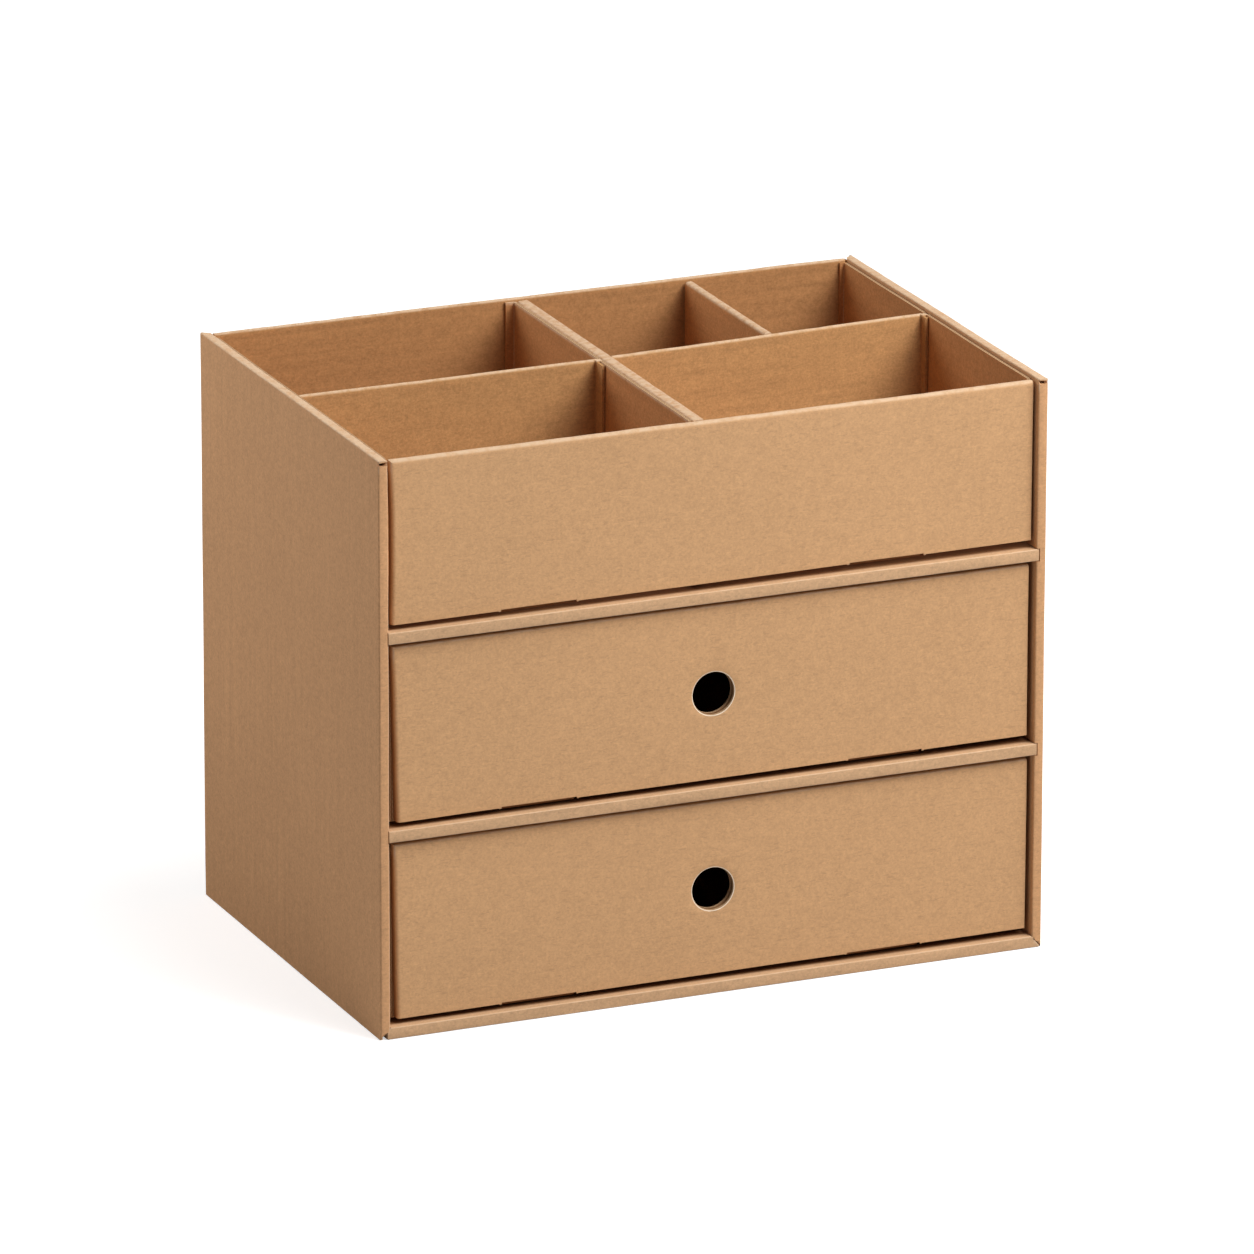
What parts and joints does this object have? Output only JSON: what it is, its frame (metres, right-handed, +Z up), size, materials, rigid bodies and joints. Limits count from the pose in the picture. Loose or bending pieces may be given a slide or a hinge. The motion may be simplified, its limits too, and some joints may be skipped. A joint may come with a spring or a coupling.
{
  "type": "desk storage box",
  "caption": "Kraft board desk storage box: a lift-out divided tray on top of two pull-out drawers with round finger holes, in an open-fronted cabinet with rolled edges.",
  "frame": {"origin": "middle of the underside, on the surface that the box stands on", "axes": "+X to the right as seen from the front, +Z up, the drawers pull out towards -Y"},
  "size_m": [0.33, 0.219, 0.275],
  "materials": {
    "outer_board": "uncoated fine-fluted kraft board",
    "front_board": "uncoated fine-fluted kraft board",
    "shelf_board": "uncoated fine-fluted kraft board",
    "inner_board": "uncoated fine-fluted kraft board"
  },
  "bodies": {
    "cabinet": {"left_side_wall": "outer_board", "right_side_wall": "outer_board", "base_panel": "shelf_board", "back_panel": "outer_board", "lower_shelf": "shelf_board", "upper_shelf": "shelf_board"},
    "lower_drawer": {"lower_drawer_front": "front_board", "lower_drawer_bottom": "inner_board", "lower_drawer_left_side": "inner_board", "lower_drawer_right_side": "inner_board", "lower_drawer_back": "inner_board"},
    "upper_drawer": {"upper_drawer_front": "front_board", "upper_drawer_bottom": "inner_board", "upper_drawer_left_side": "inner_board", "upper_drawer_right_side": "inner_board", "upper_drawer_back": "inner_board"},
    "tray": {"tray_front": "front_board", "tray_bottom": "inner_board", "tray_left_side": "inner_board", "tray_right_side": "inner_board", "tray_back": "inner_board", "main_divider": "inner_board", "divider_liner": "inner_board", "left_cross_divider": "inner_board", "right_cross_divider": "inner_board", "short_divider": "inner_board"}
  },
  "joints": [
    {"name": "lower_drawer_slide", "type": "slide", "parent": "cabinet", "child": "lower_drawer", "axis": [0, -1, 0], "range_m": [0, 0.18]},
    {"name": "upper_drawer_slide", "type": "slide", "parent": "cabinet", "child": "upper_drawer", "axis": [0, -1, 0], "range_m": [0, 0.18]},
    {"name": "tray_lift", "type": "slide", "parent": "cabinet", "child": "tray", "axis": [0, 0, 1], "range_m": [0, 0.09]}
  ]
}
